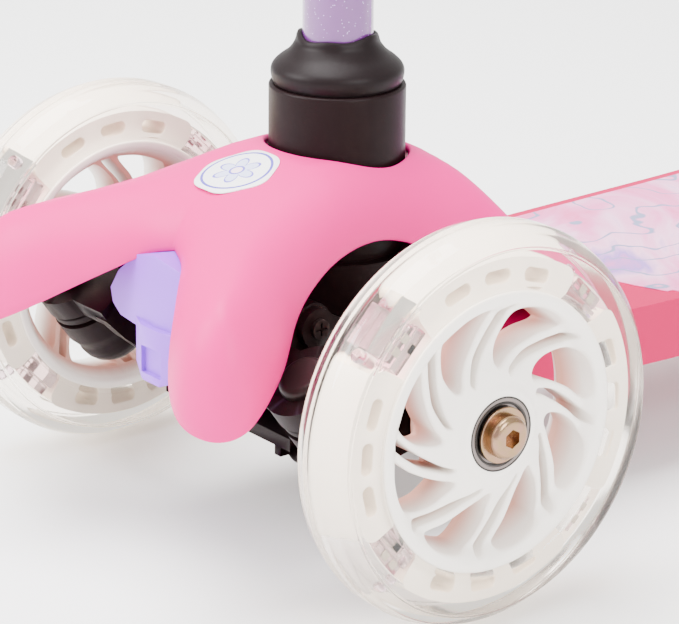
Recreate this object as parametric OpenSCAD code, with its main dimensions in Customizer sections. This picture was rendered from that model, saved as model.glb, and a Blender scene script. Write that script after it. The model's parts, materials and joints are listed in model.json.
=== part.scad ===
// Child's three-wheel kick scooter: two large front wheels that steer as the rider leans,
// one small braked rear wheel, a low deck and a height-adjustable T-bar.
// Millimetres. +X is the rider's left, -Y is forward, +Z is up.
// The origin is on the ground, midway between the cover's front tips and the rear tyre's back.

/* [Overall] */
// Distance between the middle planes of the two front wheels
track = 186.4; // [182:0.2:196]
// Distance from the front axle line to the rear axle
wheelbase = 400; // [380:5:430]
// Height of the handlebar's centre line when raised
bar_height = 640; // [600:5:680]

/* [Front wheels] */
// Diameter of a front tyre
front_d = 120; // [118:0.5:121]
// Width of a front tyre
front_w = 24; // [22:0.5:25]
// Radius where the moulded hub face ends and the clear tyre begins
hub_face_r = 42; // [41:0.5:43]
// Number of swirled spokes
spokes = 8; // [6:1:9]

/* [Rear wheel] */
// Diameter of the rear tyre
rear_d = 80; // [78:1:82]
// Width of the rear tyre
rear_w = 28; // [24:1:29]

/* [Deck] */
// Height of the deck's top face above the ground
deck_top = 60; // [58:0.5:61]
// Thickness of the deck at its edge
deck_t = 20; // [18:0.5:22]
// Half width of the deck at its widest
deck_half_w = 56; // [52:1:60]

/* [Steering column] */
// Distance of the column behind the front axle line
column_y = 22; // [21:0.5:23]
// Outer diameter of the lower tube
tube_d = 21.6; // [21.2:0.1:22]
// Wall thickness of the lower tube
tube_wall = 1.5; // [1.4:0.1:1.8]
// Outer diameter of the socket collar
collar_d = 42; // [41:0.5:43]
// Height of the collar's top rim
collar_top = 137; // [135:0.5:139]
// How far the T-bar can be lowered
height_travel = 120; // [80:5:130]

/* [Steering knuckles] */
// Kingpin's distance from the centre plane
kingpin_x = 60; // [59:0.5:61]
// Kingpin's rearward lean from the vertical
kingpin_tilt = 36; // [34:0.5:37]
// Outer radius of the knuckle's barrel
barrel_r = 13; // [12.5:0.1:13.2]
// Distance of the tie rod's pins behind the kingpins
lever_len = 16; // [15.5:0.1:16.2]

/* [Cover] */
// Wall thickness of the front cover
cover_t = 3; // [2.5:0.1:3.5]
// Radius of the hole round the collar
cover_hole_r = 23; // [22.5:0.1:23.5]
// Height of the cover at the front of that hole
crown_z = 119.3; // [118:0.1:120]

/* [Handlebar] */
// Overall length of the handlebar with its end caps
bar_length = 300; // [280:5:330]
// Outer radius of a grip between its ribs
grip_r = 14; // [13:0.5:15]

/* [Hidden] */
$fn = 64;
skin = 0.05;            // radial clearance of a running fit
gap = 0.3;              // space between parts that move past each other
axle_z = front_d / 2;
rear_z = rear_d / 2;
front_reach = 74.7;     // cover tips ahead of the front axle line
rear_reach = wheelbase + rear_d / 2;
front_y = (front_reach - rear_reach) / 2;
deck_bottom = deck_top - deck_t;
tube_r = tube_d / 2;
tube_bore = tube_r - tube_wall;
collar_r = collar_d / 2;
socket_z = 58;          // foot of the collar in the chassis
mouth_z = collar_top - 9;
upper_r = tube_bore - 0.08;
clamp_z = 464;
lower_top = clamp_z + 8;
kingpin_y = -27;
kingpin_z = 58;
kingpin_r = 5;
axle_r = 4;             // M8 axle bolts
bearing_r = 11;         // 608 bearings
bearing_w = 7;
hub_half = front_w / 2 - 0.8;
rod_s = -20.5;          // tie rod's place along the kingpin
rod_r = 3;
cheek_x = 34;
cheek_t = 6;
fender_r = rear_d / 2 + 4;
fender_t = 3;
hinge_y = wheelbase - 48;
hinge_z = 66;
hinge_r = 3;
bar_r = 9.3;

// ---------- curves ----------

// Points of an arc from angle a to angle b
function arc(c, r, a, b, n = 6) = [for (i = [0:n]) let (t = a + (b - a) * i / n) c + r * [cos(t), sin(t)]];

// Catmull-Rom curve through a list of points, n steps between each pair
function knot(p, i) = i < 0 ? 2 * p[0] - p[1] : i >= len(p) ? 2 * p[len(p) - 1] - p[len(p) - 2] : p[i];
function between(p, i, t) = let (a = knot(p, i - 1), b = p[i], c = p[i + 1], d = knot(p, i + 2))
    0.5 * (2 * b + (c - a) * t + (2 * a - 5 * b + 4 * c - d) * t * t + (3 * b - a - 3 * c + d) * t * t * t);
function curve(p, n) = concat(
    [for (i = [0:len(p) - 2]) for (k = [0:n - 1]) between(p, i, k / n)],
    [p[len(p) - 1]]);

function flipped(p) = [for (i = [len(p) - 1:-1:0]) [-p[i].x, p[i].y]];

function seg_gap(p, a, b) = let (d = b - a, t = max(0, min(1, (p - a) * d / (d * d)))) norm(p - a - t * d);

// ---------- frames ----------

module at_front() translate([0, front_y, 0]) children();
module at_column(z = 0) translate([0, front_y + column_y, z]) children();
module sided(side) {
    if (side > 0) children();
    else mirror([1, 0, 0]) children();
}
// Kingpin's frame: origin on the pin, +Z up along it, +Y behind it
module on_kingpin(side) sided(side)
    translate([kingpin_x, front_y + kingpin_y, kingpin_z]) rotate([kingpin_tilt, 0, 0]) children();
// Wheel's frame: origin at the wheel's centre, +Z outwards along its axle
module on_wheel(side) translate([side * track / 2, front_y, axle_z]) rotate([0, 90 * side, 0]) children();
module on_rear_wheel() translate([0, front_y + wheelbase, rear_z]) rotate([0, 90, 0]) children();
// A side-view outline of [y, z] points given thickness along X
module slab(x, t, pts) translate([x, 0, 0]) rotate([90, 0, 90]) linear_extrude(t) polygon(pts);

module ring(r_out, r_in, z0, z1) translate([0, 0, z0]) difference() {
    cylinder(r = r_out, h = z1 - z0);
    translate([0, 0, -1]) cylinder(r = r_in, h = z1 - z0 + 2);
}

// A wire coil about +Z, as a six-sided tube
module coil(r, wire, height, turns) {
    steps = 12 * turns;
    sides = 6;
    lead = height / turns / (2 * PI * r);
    pts = [for (i = [0:steps]) for (k = [0:sides - 1])
        let (a = 360 * i / 12, b = 360 * k / sides, out = r + wire * cos(b), up = wire * sin(b))
        [out * cos(a) + lead * up * sin(a), out * sin(a) - lead * up * cos(a), height * i / steps + up]];
    walls = [for (i = [0:steps - 1]) for (k = [0:sides - 1]) let (n = (k + 1) % sides)
        [i * sides + k, (i + 1) * sides + k, (i + 1) * sides + n, i * sides + n]];
    ends = [[for (k = [0:sides - 1]) k], [for (k = [sides - 1:-1:0]) steps * sides + k]];
    polyhedron(pts, concat(walls, ends));
}

// ---------- front cover ----------

// Half outline in plan from the front notch, round the leg, past the side notch, to the deck
cover_plan = [[0, -39], [9, -43], [20, -53], [38, -68.5], [52.5, -74.7], [64, -71], [67.5, -61],
    [60, -44.5], [47.5, -29], [40.5, -15], [36, 0], [33, 17], [34, 32], [39, 48], [46, 66],
    [50, 84], [47, 98], [38, 107], [20, 112], [0, 113]];
foot_y = 104;           // where the cover's back has come down to the deck
foot_run = 59;
foot_t = cover_t + 1;   // height of the lip that lies on the deck

function ease(t) = let (u = max(0, min(1, t))) u * u * (3 - 2 * u);
// Height of the free edge: it lies on a wide cone round the front axle
function edge_z(p) = max(deck_top + 0.2, 118 - 0.59 * norm(p));
// Height of the crown above a point
function crown(p) = let (
        far = norm(p - [0, column_y]) - cover_hole_r,
        z = crown_z - 0.28 * far - 0.087 * max(0, p.y + 1),
        foot = deck_top + foot_t)
    foot + (z - foot) * ease((foot_y - p.y) / foot_run);
// Width over which the wall rounds up to the crown
function shoulder(p) = 19 - 0.1 * max(0, norm(p) - 45);
function cover_z(p, gap_in, t) = let (u = min(1, gap_in / (shoulder(p) - t)), low = edge_z(p))
    low + max(0, crown(p) - t - low) * sqrt(1 - (1 - u) * (1 - u));

module front_cover() {
    half = curve(cover_plan, 3);
    line = concat(half, [for (i = [len(half) - 2:-1:1]) [-half[i].x, half[i].y]]);
    n = len(line);
    inset = [for (i = [0:n - 1]) let (d = line[(i + 1) % n] - line[(i + n - 1) % n])
        line[i] + cover_t * [-d.y, d.x] / norm(d)];
    hole = [for (p = line) let (d = p - [0, column_y]) [0, column_y] + cover_hole_r * d / norm(d)];
    rows = [0, 0.02, 0.06, 0.13, 0.22, 0.33, 0.46, 0.6, 0.75, 0.88, 1];
    last = len(rows) - 1;
    outer = [for (s = rows) for (i = [0:n - 1]) let (p = line[i] + s * (hole[i] - line[i]),
        e = min([for (k = [0:len(half) - 2]) seg_gap([abs(p.x), p.y], half[k], half[k + 1])]))
        [p.x, p.y, cover_z(p, s == 0 ? 0 : e, 0)]];
    inner = [for (s = rows) for (i = [0:n - 1]) let (p = inset[i] + s * (hole[i] - inset[i]),
        e = min([for (k = [0:len(half) - 2]) seg_gap([abs(p.x), p.y], half[k], half[k + 1])]) - cover_t)
        [p.x, p.y, cover_z(p, s == 0 ? 0 : max(0, e), cover_t)]];
    m = len(outer);
    skin_faces = [for (j = [0:last - 1]) for (i = [0:n - 1]) let (k = (i + 1) % n)
        each [[j * n + i, (j + 1) * n + i, (j + 1) * n + k], [j * n + i, (j + 1) * n + k, j * n + k]]];
    lining = [for (f = skin_faces) [m + f[0], m + f[2], m + f[1]]];
    rims = [for (i = [0:n - 1]) let (k = (i + 1) % n, b = last * n)
        each [[i, k, m + k], [i, m + k, m + i], [b + k, b + i, m + b + i], [b + k, m + b + i, m + b + k]]];
    color("hotpink") at_front() polyhedron(concat(outer, inner), concat(skin_faces, lining, rims));
}

// A thin printed disc that follows the cover ahead of the collar
module cover_badge() {
    badge_r = 12.5;
    badge_y = -16;
    film = 0.5;
    n = 48;
    rings = 5;
    lobes = 6;
    plan = concat([[0, badge_y]], [for (j = [1:rings]) for (i = [0:n - 1])
        let (a = 360 * i / n, r = badge_r * j / rings * (1 + 0.03 * cos(lobes * a)))
        [r * cos(a), badge_y + r * sin(a)]]);
    m = len(plan);
    pts = [for (lift = [0.1, 0.1 + film]) for (p = plan) [p.x, p.y, cover_z(p, 50, 0) + lift]];
    fan = [for (i = [0:n - 1]) [0, 1 + i, 1 + (i + 1) % n]];
    bands = [for (j = [0:rings - 2]) for (i = [0:n - 1])
        let (a = 1 + j * n + i, b = 1 + j * n + (i + 1) % n) each [[a, b + n, b], [a, a + n, b + n]]];
    base = concat(fan, bands);
    edge = [for (i = [0:n - 1]) let (a = 1 + (rings - 1) * n + i, b = 1 + (rings - 1) * n + (i + 1) % n)
        each [[a, m + b, b], [a, m + a, m + b]]];
    top = [for (f = base) [m + f[0], m + f[2], m + f[1]]];
    color("white") at_front() polyhedron(pts, concat(base, top, edge));
}

// ---------- deck ----------

// Half outline in plan from the front edge to the tip of the fork arm beside the rear wheel
deck_front = 52;
arm_in = rear_w / 2 + 3;
arm_out = arm_in + 13;
axle_seat = arm_out + 1;
arm_end = wheelbase + 12;
deck_plan = [[38, deck_front + 6], [44, 76], [47.5, 100], [50, 140], [deck_half_w - 3, 205],
    [deck_half_w, 262], [deck_half_w - 3, wheelbase - 85], [46, wheelbase - 48],
    [arm_out + 2, wheelbase - 22], [arm_out, wheelbase], [arm_out, arm_end]];
deck_wall = 3.5;
screw_at = [[18, 70], [18, 108]];
screw_r = 2.2;

// Narrower copy of the outline, for the hollow underneath and for the printed film
function deck_line(by) = [for (p = curve(deck_plan, 4)) [p.x - by, p.y]];
function deck_part(by, y0, y1) = let (side = [for (p = deck_line(by)) if (p.y > y0 && p.y < y1) p],
        first = side[0], end = side[len(side) - 1])
    concat([[first.x - 3, y0]], side, [[end.x - 3, y1]]);

module deck_outline() {
    slot_end = wheelbase - 45;
    half = concat([[0, deck_front], [33, deck_front]], deck_line(0),
        [[arm_in, arm_end], [arm_in, slot_end + 3], [arm_in - 3, slot_end], [0, slot_end]]);
    polygon(concat(half, flipped(half)));
}

module deck() color("deeppink") at_front() {
    rib_t = 3;
    cavity_end = wheelbase - 62;
    difference() {
        union() {
            translate([0, 0, deck_bottom]) linear_extrude(deck_t) deck_outline();
            for (side = [1, -1]) sided(side) {
                translate([arm_in, wheelbase, rear_z]) rotate([0, 90, 0])
                    cylinder(r = 12, h = axle_seat - arm_in);
                hinge_lug();
            }
        }
        // hollow underside with long and cross ribs left standing
        difference() {
            translate([0, 0, deck_bottom - 1]) linear_extrude(deck_t - 4 + 1)
                polygon(let (h = deck_part(deck_wall, deck_front + 10, cavity_end)) concat(h, flipped(h)));
            for (x = [-30, 0, 30]) translate([x - rib_t / 2, 0, deck_bottom - 2])
                cube([rib_t, wheelbase, deck_t]);
            for (i = [0:5]) translate([-70, 84 + i * 42, deck_bottom - 2])
                cube([140, rib_t, deck_t]);
            for (p = screw_at) for (s = [1, -1]) translate([s * p.x, p.y, deck_bottom - 2])
                cylinder(r = 6, h = deck_t);
        }
        for (p = screw_at) for (s = [1, -1]) translate([s * p.x, p.y, deck_bottom - 1])
            cylinder(r = screw_r, h = 15);
        translate([-50, wheelbase, rear_z]) rotate([0, 90, 0]) cylinder(r = axle_r, h = 100);
    }
}

// One of the two ears that carry the brake's hinge pin
module hinge_lug() {
    lug_r = 6.5;
    difference() {
        translate([arm_in + 3, 0, 0]) union() {
            translate([0, hinge_y, hinge_z]) rotate([0, 90, 0]) cylinder(r = lug_r, h = 6);
            slab(0, 6, [[hinge_y - lug_r - 4, deck_top - 1], [hinge_y - lug_r, hinge_z],
                [hinge_y + lug_r, hinge_z], [hinge_y + lug_r + 3, deck_top - 1]]);
        }
        translate([0, hinge_y, hinge_z]) rotate([0, 90, 0]) cylinder(r = hinge_r - skin, h = 60);
    }
}

// Printed film on the standing surface, with a bowed front edge
film_front = 114.5;
film_end = wheelbase - 66;
module deck_film() {
    half = deck_part(4, film_front + 12, film_end);
    reach = half[0].x;
    bow = [for (i = [0:8]) let (u = i / 4 - 1) [reach * u, film_front + 10 * u * u]];
    color("lightpink") at_front() translate([0, 0, deck_top]) linear_extrude(0.4)
        polygon(concat(bow, half, flipped(half)));
}

// ---------- chassis and nose ----------

boss_y = -18;
boss_z = 78;

// Side view of one chassis cheek
cheek = concat([[-41, 63], [-34, 73], [-27, 79]], arc([boss_y, boss_z], 7, 130, 20),
    [[4, 72], [44, 64], [46, 40], [-12, 40], [-24, 48], [-34, 56]]);

module chassis() color("black") {
    wall = 4;
    skid_r = 6;
    difference() {
        union() {
            at_column() ring(collar_r + wall, collar_r, socket_z, 86);
            at_column() ring(collar_r + wall, tube_bore, socket_z - 4, socket_z);
            at_front() {
                translate([-22, 8, deck_bottom - 4]) cube([44, 38, socket_z - deck_bottom + 2]);
                translate([-32, -20, deck_bottom - 4]) cube([64, 140, 4]);
                for (x = [-26, 0, 26]) translate([x - 1.5, -20, deck_bottom - 7]) cube([3, 140, 4]);
                translate([-cheek_x - 1, -24, 52]) cube([2 * cheek_x + 2, 9, 20]);
                for (y = [12, 36]) translate([-cheek_x - 1, y, deck_bottom]) cube([2 * cheek_x + 2, 5, 22]);
            }
            for (side = [1, -1]) {
                sided(side) at_front() {
                    slab(cheek_x, cheek_t, cheek);
                    translate([cheek_x, boss_y, boss_z]) rotate([0, 90, 0]) cylinder(r = 6, h = 9);
                    slab(cheek_x + cheek_t - 1, 4, [[-32, 62], [-12, 76], [-9, 72], [-29, 57]]);
                    slab(cheek_x + cheek_t - 1, 3, [[8, 44], [8, 66], [11, 66], [11, 44]]);
                    slab(cheek_x + cheek_t - 1, 3, [[24, 44], [24, 64], [27, 64], [27, 44]]);
                    translate([30, -16, 37]) rotate([-90, 0, 0]) cylinder(r = skid_r, h = 50);
                }
                on_kingpin(side) {
                    translate([0, 0, 8.5]) cylinder(r = barrel_r, h = 7.5);
                    translate([cheek_x - kingpin_x, -8, 8.5]) cube([kingpin_x - cheek_x, 16, 7.5]);
                }
            }
        }
        for (side = [1, -1]) {
            on_kingpin(side) translate([0, 0, 5]) cylinder(r = kingpin_r, h = 20);
            sided(side) at_front() translate([cheek_x + 3, boss_y, boss_z]) rotate([0, 90, 0])
                cylinder(r = 1.6, h = 10);
            sided(side) at_front() for (p = [[18, 52], [30, 52]])
                translate([cheek_x - 2, p.x, p.y]) rotate([0, 90, 0]) cylinder(r = 3.5, h = 14);
            for (p = screw_at) at_front() translate([side * p.x, p.y, 20])
                cylinder(r = screw_r, h = 30);
        }
        at_column() translate([0, 0, socket_z]) cylinder(r = collar_r, h = 40);
        on_rod() translate([0, 0, -50]) cylinder(r = rod_r + 1.2, h = 100);
        on_rod() translate([0, 0, -cheek_x]) cylinder(r = 6.3, h = 2 * cheek_x);
    }
}

// Faceted housing that fills the cover's front notch: a hood with a centre crease over a narrow leg
module nose_housing() color("mediumpurple") at_front() difference() {
    union() {
        intersection() {
            translate([0, -24.5, 0]) rotate([90, 0, 0]) linear_extrude(30)
                polygon([[-23, 69], [-28, 71.5], [-29.5, 76], [-24, 83], [-12, 91.5], [0, 94.5],
                    [12, 91.5], [24, 83], [29.5, 76], [28, 71.5], [23, 69]]);
            linear_extrude(120)
                polygon([[0, -46.5], [31, -42], [31, -20], [-31, -20], [-31, -42]]);
        }
        intersection() {
            translate([0, -24.5, 0]) rotate([90, 0, 0]) linear_extrude(30)
                polygon([[-12, 72], [-12, 58], [-4, 54.5], [4, 54.5], [12, 58], [12, 72]]);
            linear_extrude(120)
                polygon([[-5, -48], [5, -48], [12, -45], [12, -20], [-12, -20], [-12, -45]]);
        }
    }
    translate([-20, -42, 60]) cube([40, 30, 20]);
    translate([-5, -50, 57]) cube([10, 3.5, 8.5]);
}

module chassis_screws() color("silver") at_front() for (p = screw_at) for (s = [1, -1])
    translate([s * p.x, p.y, deck_bottom - 4]) {
        cylinder(r = screw_r, h = 16);
        translate([0, 0, -2.4]) difference() {
            cylinder(r = 4.2, h = 2.4);
            translate([0, 0, -1]) cylinder(r = 1.6, h = 2.2, $fn = 6);
        }
    }

module cover_screws() color("silver") at_front() for (side = [1, -1]) sided(side)
    translate([cheek_x + 9, boss_y, boss_z]) rotate([0, 90, 0]) {
        translate([0, 0, -6]) cylinder(r = 1.6, h = 6);
        difference() {
            cylinder(r = 3, h = 1.4);
            for (a = [0, 90]) rotate([0, 0, a]) translate([-2, -0.35, 0.6]) cube([4, 0.7, 2]);
        }
    }

// ---------- kingpins, knuckles and tie rod ----------

module kingpin(side) color("silver") on_kingpin(side) {
    translate([0, 0, -15.3]) cylinder(r = kingpin_r, h = 31.3);
    translate([0, 0, 16]) rotate_extrude()
        polygon(concat([[0, 0], [7.5, 0]], arc([5.5, 1], 2, 0, 90), [[0, 3]]));
}

module thrust_rings() color("black") for (side = [1, -1]) on_kingpin(side) {
    ring(8.5, kingpin_r, 4.1, 8.5);
    ring(barrel_r - 0.4, 8, 5, 7.5);
}

// Barrel on the kingpin, stub that carries the wheel, and the lever for the tie rod
module knuckle(side) color("black") difference() {
    boss_in = 67;
    boss_out = track / 2 - hub_half - gap;
    union() {
        on_kingpin(side) {
            rotate_extrude() polygon(concat([[0, 4], [barrel_r, 4], [barrel_r, -3]],
                arc([3.5, -9.5], 8.5, 15, -80), [[0, -19]]));
            translate([-6, 0, -18]) cube([12, lever_len, 4]);
            translate([0, lever_len, -18]) cylinder(r = 6, h = 4);
        }
        sided(side) at_front() {
            slab(66.5, 10.5, concat([[-36, 56], [-22, 65.5], [-8, 70]], arc([0, axle_z], 10, 95, -90),
                [[-12, 48.5], [-26, 45]]));
            translate([boss_in, 0, axle_z]) rotate([0, 90, 0]) cylinder(r = 8, h = boss_out - boss_in);
        }
    }
    on_kingpin(side) {
        translate([0, 0, -15.5]) cylinder(r = kingpin_r + skin, h = 30);
        translate([0, lever_len, -30]) cylinder(r = 2.5, h = 30);
    }
    sided(side) at_front() {
        translate([50, 0, axle_z]) rotate([0, 90, 0]) cylinder(r = axle_r, h = 50);
        translate([boss_in - 7, 0, axle_z]) rotate([0, 90, 0]) cylinder(r = 7.6, h = 13.6, $fn = 6);
    }
}

module on_rod() translate([0, front_y + kingpin_y, kingpin_z]) rotate([kingpin_tilt, 0, 0])
    translate([0, lever_len, rod_s]) rotate([0, 90, 0]) children();

module tie_rod() color("dimgray") difference() {
    eye = 5;
    flat = kingpin_x - 14;
    union() {
        on_rod() translate([0, 0, -flat - 2]) cylinder(r = rod_r - 1.1, h = 2 * flat + 4);
        on_rod() translate([0, 0, -7]) cylinder(r = 5.5, h = 14);
        for (side = [1, -1]) on_kingpin(side) translate([0, lever_len, rod_s - 1.9]) {
            translate([-kingpin_x + flat, -eye, 0]) cube([kingpin_x - flat, 2 * eye, 3.8]);
            cylinder(r = eye, h = 3.8);
        }
    }
    for (side = [1, -1]) on_kingpin(side) translate([0, lever_len, rod_s - 5]) cylinder(r = 3, h = 10);
}

module tie_rod_pin(side) color("silver") on_kingpin(side) translate([0, lever_len, 0]) {
    translate([0, 0, -24.5]) cylinder(r = 2.5, h = 10.5);
    translate([0, 0, -24.5]) cylinder(r = 4.2, h = 1.5);
}

// Two coils that push the tie rod's collar back to the middle
module centring_springs() color("silver") for (side = [1, -1]) sided(side) on_rod() translate([0, 0, 8.2])
    coil(4.2, 0.7, cheek_x - 10, 7);

// ---------- steering column ----------

module collar() color("black") at_column() difference() {
    union() {
        translate([0, 0, socket_z]) cylinder(r = collar_r, h = collar_top - 1 - socket_z);
        translate([0, 0, collar_top - 1]) cylinder(r1 = collar_r, r2 = collar_r - 0.8, h = 1);
    }
    translate([0, 0, socket_z - 1]) cylinder(r = tube_r + skin, h = 100);
    translate([0, 0, mouth_z]) cylinder(r = collar_r - 2, h = 20);
    translate([0, 0, snap_z]) rotate([-90, 0, 0]) cylinder(r = button_r + gap, h = 40);
}

module boot() color("dimgray") at_column() rotate_extrude() polygon(concat(
    [[tube_r + skin, collar_top - 3]],
    curve([[15, collar_top - 3], [18.3, collar_top - 0.5], [20.3, collar_top + 3.5],
        [19, collar_top + 6.6], [15, collar_top + 9.5], [12.9, collar_top + 12.5],
        [12.2, collar_top + 15]], 3),
    [[tube_r + skin, collar_top + 15]]));

snap_z = 121;
button_r = 3;
module lower_tube() color("plum") at_column() difference() {
    ring(tube_r, tube_bore, socket_z, lower_top);
    translate([0, 0, snap_z]) rotate([-90, 0, 0]) cylinder(r = button_r + gap, h = 40);
}

module snap_button() color("silver") at_column(snap_z) rotate([-90, 0, 0]) {
    translate([0, 0, 6.4]) cylinder(r = button_r, h = 15);
    translate([0, 0, 6.4]) cylinder(r = button_r + 1, h = 1);
    translate([0, 0, 21.4]) cylinder(r1 = button_r, r2 = button_r - 0.8, h = 0.8);
}

// Folded leaf inside the tube that holds the button out
module snap_spring() color("silver") at_column() slab(-2.5, 5, [[-8.4, 88], [-8.4, 126], [-7.7, 126],
    [-7.7, 90], [5.3, 114], [5.3, 126], [6, 126], [6, 113.6], [-7, 88]]);

// ---------- quick-release clamp ----------

bolt_y = 23;
lever_x = 15.6;

module clamp_collar() color("black") at_column(clamp_z) difference() {
    union() {
        ring(tube_r + 4.5, upper_r + 0.08, -12, 12);
        translate([-9, 8, -9]) cube([18, bolt_y - 1, 18]);
    }
    translate([0, 0, -13]) cylinder(r = tube_r, h = 13 + lower_top - clamp_z);
    translate([0, 0, -20]) cylinder(r = upper_r + 0.08, h = 40);
    translate([-1.2, 0, -20]) cube([2.4, 50, 40]);
    translate([-20, bolt_y, 0]) rotate([0, 90, 0]) cylinder(r = 3, h = 40);
}

module clamp_bolt() color("silver") at_column(clamp_z) translate([0, bolt_y, 0]) {
    difference() {
        union() {
            translate([-14.5, 0, 0]) rotate([0, 90, 0]) cylinder(r = 3, h = lever_x + 14.5);
            translate([lever_x, 0, -2.4]) cylinder(r = 5, h = 4.8);
        }
        translate([lever_x, 0, -10]) cylinder(r = 2.5, h = 20);
    }
}

module clamp_nut() color("silver") at_column(clamp_z) translate([-14, bolt_y, 0]) rotate([0, 90, 0])
    difference() {
        cylinder(r = 5.5, h = 5, $fn = 6);
        translate([0, 0, -1]) cylinder(r = 3, h = 8);
    }

module clamp_pin() color("silver") at_column(clamp_z) translate([lever_x, bolt_y, -7.2])
    cylinder(r = 2.5, h = 14.4);

// Cam head on the cross pin, and a handle that lies along the column when shut
module clamp_lever() color("black") at_column(clamp_z) difference() {
    translate([0, 0, -7]) linear_extrude(14) union() {
        translate([lever_x, bolt_y]) circle(r = 6);
        polygon(concat([[lever_x + 6, bolt_y], [lever_x - 1.5, bolt_y - 6]],
            [[17.2, 12], [17, 0], [16.6, -14]], arc([18.5, -17], 2.6, 150, 330), [[22.5, 0], [22.8, 12]]));
    }
    translate([lever_x, bolt_y, -3.2]) cylinder(r = 7.5, h = 6.4);
    translate([lever_x, bolt_y, -10]) cylinder(r = 2.5 + skin, h = 20);
}

// ---------- T-bar ----------

upper_foot = clamp_z - 200;

module upper_tube() color("plum") at_column()
    ring(upper_r, upper_r - 1.2, upper_foot, bar_height - bar_r - 1);

module tee_joint() color("black") at_column() difference() {
    sleeve_r = 13;
    union() {
        translate([0, 0, bar_height - 34]) cylinder(r = upper_r + 3.2, h = 34);
        translate([0, 0, bar_height - 38]) cylinder(r1 = upper_r + 1.2, r2 = upper_r + 3.2, h = 4);
        translate([-26, 0, bar_height]) rotate([0, 90, 0]) rotate_extrude()
            polygon([[0, 0], [sleeve_r - 1.5, 0], [sleeve_r, 1.5], [sleeve_r, 50.5],
                [sleeve_r - 1.5, 52], [0, 52]]);
    }
    translate([0, 0, bar_height - 50]) cylinder(r = upper_r, h = 50 - bar_r - 1);
    translate([-60, 0, bar_height]) rotate([0, 90, 0]) cylinder(r = bar_r, h = 120);
}

module on_bar(side) at_column(bar_height) rotate([0, 90 * side, 0]) children();

module crossbar() color("plum") on_bar(1)
    ring(bar_r, bar_r - 1.4, -bar_length / 2 + 4, bar_length / 2 - 4);

grip_len = 98;
grip_start = bar_length / 2 - 4 - grip_len;

module grip(side) color("hotpink") on_bar(side) difference() {
    ribs = 9;
    pitch = 8;
    union() {
        translate([0, 0, grip_start]) rotate_extrude() polygon(concat([[0, 0], [19, 0]],
            arc([17.6, 1.4], 1.4, 0, 90), [[grip_r + 1, 4], [grip_r, 8], [grip_r, grip_len], [0, grip_len]]));
        for (i = [0:ribs - 1]) let (z = grip_start + 14 + i * pitch)
            ring(grip_r + 1, grip_r - 1, z, z + 4);
        ring(grip_r + 2, grip_r - 1, grip_start + grip_len - 7, grip_start + grip_len);
    }
    cylinder(r = bar_r, h = bar_length);
}

module end_caps() color("mediumpurple") for (side = [1, -1])
    on_bar(side) translate([0, 0, bar_length / 2 - 4]) {
        translate([0, 0, -12]) cylinder(r = bar_r - 1.4, h = 12);
        rotate_extrude()
            polygon(concat([[0, 0], [grip_r + 2, 0]], arc([grip_r - 1, 1], 3, 0, 90), [[0, 4]]));
    }

// ---------- front wheels ----------

band_r = front_d / 2 - 7.4;
band_half = 6.2;
light_angles = [45, 135, 226, 308];
light_half = 5;

// Clear tyre: a rounded section with a groove that the hub's band fills
module tyre(d, w, face_r, rim_r, rim_half) rotate_extrude() polygon(concat(
    [[face_r, w / 2 - 2.2]], arc([face_r + 2.2, w / 2 - 2.2], 2.2, 180, 90, 3),
    arc([d / 2 - 8, w / 2 - 8], 8, 90, 0, 8), arc([d / 2 - 8, 8 - w / 2], 8, 0, -90, 8),
    arc([face_r + 2.2, 2.2 - w / 2], 2.2, 270, 180, 3),
    [[face_r, -rim_half], [rim_r, -rim_half], [rim_r, rim_half], [face_r, rim_half]]));

module front_tyre(side) color("ivory") on_wheel(side)
    tyre(front_d, front_w, hub_face_r, band_r, band_half);

// One teardrop window between two swirled spokes, wide near the rim and pointed near the boss
module window() {
    r_in = 18.5;
    r_out = 37.2;
    sweep = 28;
    half_w = 7.2;
    steps = 12;
    function spine(u) = let (r = r_in + (r_out - r_in) * u, a = sweep * (1 - u)) r * [cos(a), sin(a)];
    function across(u) = let (d = spine(u + 0.01) - spine(u - 0.01)) [-d.y, d.x] / norm(d);
    function reach(u) = half_w * sqrt(max(0, sin(180 * pow(u, 1.5))));
    polygon(concat([for (i = [0:steps]) let (u = i / steps) spine(u) + across(u) * reach(u)],
        [for (i = [steps - 1:-1:1]) let (u = i / steps) spine(u) - across(u) * reach(u)]));
}

module front_hub(side) color("white") on_wheel(side) difference() {
    rim_half = front_w / 2 - 1.5;
    rotate_extrude() polygon([[8.5, -hub_half], [15.5, -hub_half], [16.5, -7], [37, -5], [38, -rim_half],
        [hub_face_r, -rim_half], [hub_face_r, -band_half], [band_r, -band_half], [band_r, band_half],
        [hub_face_r, band_half], [hub_face_r, rim_half], [39, rim_half], [37.5, rim_half - 2.5],
        [26, 5.5], [18, 7.5], [14.5, hub_half], [8.5, hub_half]]);
    for (i = [0:spokes - 1]) rotate([0, 0, 15 + 360 * i / spokes])
        translate([0, 0, -15]) linear_extrude(30) window();
    for (z = [[hub_half - bearing_w, hub_half + 1], [-hub_half - 1, bearing_w - hub_half]])
        translate([0, 0, z[0]]) cylinder(r = bearing_r, h = z[1] - z[0]);
    light_sockets();
}

module light_sockets() for (a = light_angles) rotate([0, 0, a])
    translate([hub_face_r + 1, -light_half, -band_half - 1])
        cube([band_r, 2 * light_half, 2 * band_half + 2]);

// Lamp-and-magnet blocks that light the tyre
module light_blocks(side) color("lightgray") on_wheel(side) for (a = light_angles) rotate([0, 0, a]) {
    translate([hub_face_r + 1, -light_half + gap, -band_half + gap])
        cube([6, 2 * (light_half - gap), 2 * (band_half - gap)]);
    translate([hub_face_r + 7, 0, 0]) rotate([0, 90, 0]) cylinder(r = 2.5, h = 2.2);
}

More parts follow.
